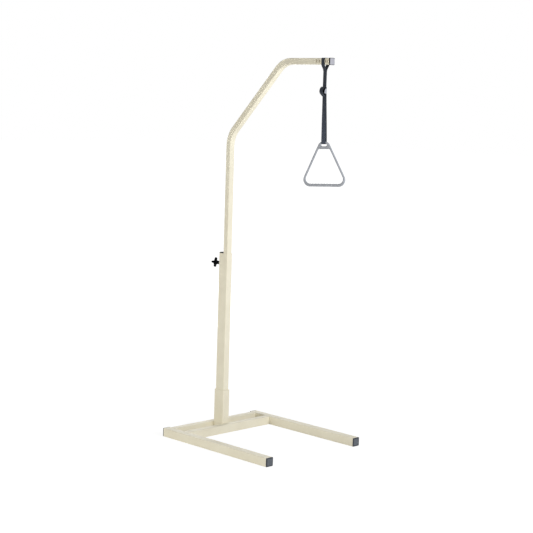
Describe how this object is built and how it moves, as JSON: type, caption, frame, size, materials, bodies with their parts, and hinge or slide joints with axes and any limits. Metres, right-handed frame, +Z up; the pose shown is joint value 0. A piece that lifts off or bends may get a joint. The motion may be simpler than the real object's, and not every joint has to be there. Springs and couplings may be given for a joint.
{
  "type": "bed trapeze",
  "caption": "Free-standing bed trapeze: U-shaped floor frame, telescopic mast with a clamped height, bent boom and a triangular grip on an adjustable webbing strap.",
  "frame": {"origin": "on the floor, under the middle of the whole part's box", "axes": "+X forward, the way the boom and the legs reach; +Y to the left; +Z up along the mast"},
  "size_m": [0.9766, 0.755, 2.2069],
  "materials": {
    "cream_paint": "smooth cream powder coat, satin",
    "slate_plastic": "slate grey moulded plastic, matt",
    "zinc_steel": "bright zinc plate",
    "black_plastic": "black moulded plastic, slight gloss",
    "pale_plastic": "pale grey moulded plastic",
    "grey_plastic": "mid grey moulded nylon, fine grain",
    "buckle_metal": "satin plated steel",
    "black_webbing": "flat woven polyester webbing, blue-black"
  },
  "bodies": {
    "base": {"left_leg": "cream_paint", "right_leg": "cream_paint", "front_left_cap": "slate_plastic", "front_right_cap": "slate_plastic", "rear_left_cap": "slate_plastic", "rear_right_cap": "slate_plastic", "rear_rail": "cream_paint", "front_rail": "cream_paint", "mast_socket": "cream_paint", "socket_floor_plate": "cream_paint", "mast_foot_block": "zinc_steel", "mast_bolt_washer": "zinc_steel", "mast_bolt": "zinc_steel", "outer_tube": "cream_paint", "top_guide_insert": "black_plastic", "clamp_boss": "cream_paint"},
    "clamp_pad": {"pressure_pad": "black_plastic"},
    "clamp_knob": {"clamp_screw": "zinc_steel", "star_knob": "black_plastic"},
    "upper_mast": {"upper_tube": "cream_paint", "glide_shoe": "black_plastic", "boom_end_collar": "black_plastic", "boom_end_cap": "pale_plastic", "strap_over_boom": "black_webbing"},
    "strap": {"strap_upper": "black_webbing", "strap_tail": "black_webbing", "buckle_frame": "buckle_metal", "cam_pin": "buckle_metal", "cam_spring": "zinc_steel", "strap_front_run": "black_webbing", "strap_rear_run": "black_webbing"},
    "cam": {"buckle_cam": "black_plastic"},
    "hanger": {"strap_grip_loop": "black_webbing"},
    "grip": {"grip_handle": "grey_plastic"}
  },
  "joints": [
    {"name": "mast_height", "type": "slide", "parent": "base", "child": "upper_mast", "axis": [0, 0, 1], "range_m": [-0.4, 0.1]},
    {"name": "clamp_travel", "type": "slide", "parent": "base", "child": "clamp_pad", "axis": [-1, 0, 0], "range_m": [0, 0.0025]},
    {"name": "clamp_turn", "type": "hinge", "parent": "clamp_pad", "child": "clamp_knob", "pos_m": [-0.4436, 0, 1.004], "axis": [-1, 0, 0], "range_deg": [0, 720]},
    {"name": "strap_swing", "type": "hinge", "parent": "upper_mast", "child": "strap", "pos_m": [0.3531, 0, 2.137], "axis": [1, 0, 0], "range_deg": [-35, 35]},
    {"name": "cam_release", "type": "hinge", "parent": "strap", "child": "cam", "pos_m": [0.3531, -0.009, 2.021], "axis": [1, 0, 0], "range_deg": [0, 28], "stiffness_Nm_per_rad": 0.02, "springref_deg": -17.19},
    {"name": "handle_height", "type": "slide", "parent": "strap", "child": "hanger", "axis": [0, 0, 1], "range_m": [-0.03, 0.12], "deforming": ["strap_front_run", "strap_rear_run"]},
    {"name": "grip_swing", "type": "hinge", "parent": "hanger", "child": "grip", "pos_m": [0.3635, 0, 1.75075], "axis": [0.9388, 0.3417, 0.0436], "range_deg": [-90, 90]}
  ],
  "couplings": [
    {"joint": "clamp_travel", "follows": "clamp_turn", "m_per_rad": 0.00019894}
  ]
}
